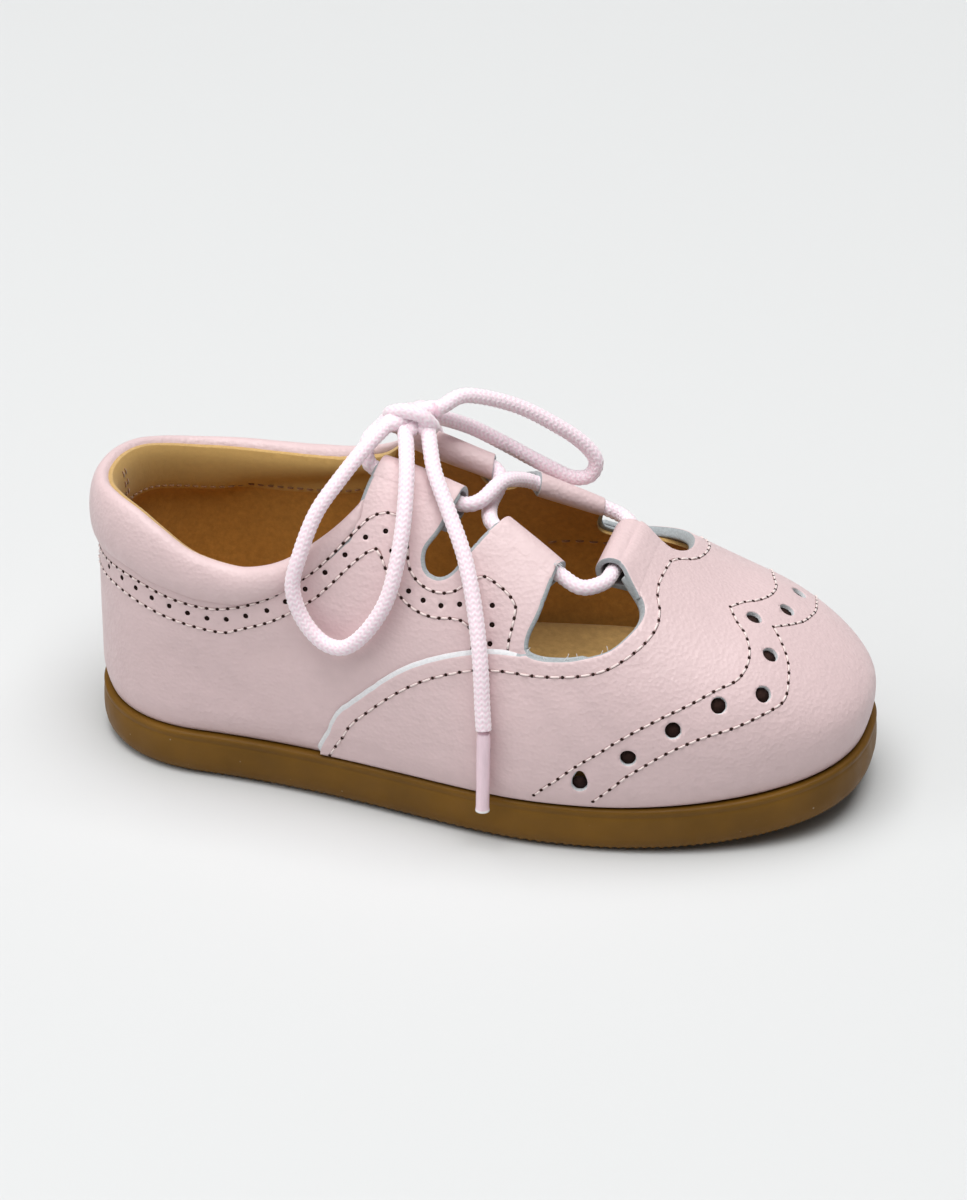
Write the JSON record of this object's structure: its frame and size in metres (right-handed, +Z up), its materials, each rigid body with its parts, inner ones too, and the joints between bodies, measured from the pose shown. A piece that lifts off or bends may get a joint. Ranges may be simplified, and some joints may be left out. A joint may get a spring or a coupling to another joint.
{
  "type": "brogue shoe",
  "caption": "Child's open-throat leather brogue for the right foot, with a round lace tied in a bow through rolled tabs, a punched wing vamp, a padded collar and a moulded sole.",
  "frame": {"origin": "on the floor under the middle of the sole's length and width", "axes": "+X towards the toe, +Y towards the inner side of the foot, +Z up"},
  "size_m": [0.1391, 0.0625, 0.0677],
  "materials": {
    "sole": "satin brown rubber",
    "footbed": "tan suede",
    "upper": "pale pink grained leather, tan suede inside",
    "wing": "pale pink grained leather",
    "lace": "pale pink braided cord",
    "aglet": "smooth pale pink film"
  },
  "bodies": {
    "root": {"outsole": "sole", "insole": "footbed", "upper": "upper", "wing_vamp": "wing", "lace": "lace", "lace_knot": "lace", "lace_loop_outer": "lace", "lace_loop_inner": "lace", "lace_end_outer": "lace", "lace_end_inner": "lace", "aglet_outer": "aglet", "aglet_inner": "aglet"}
  },
  "joints": []
}
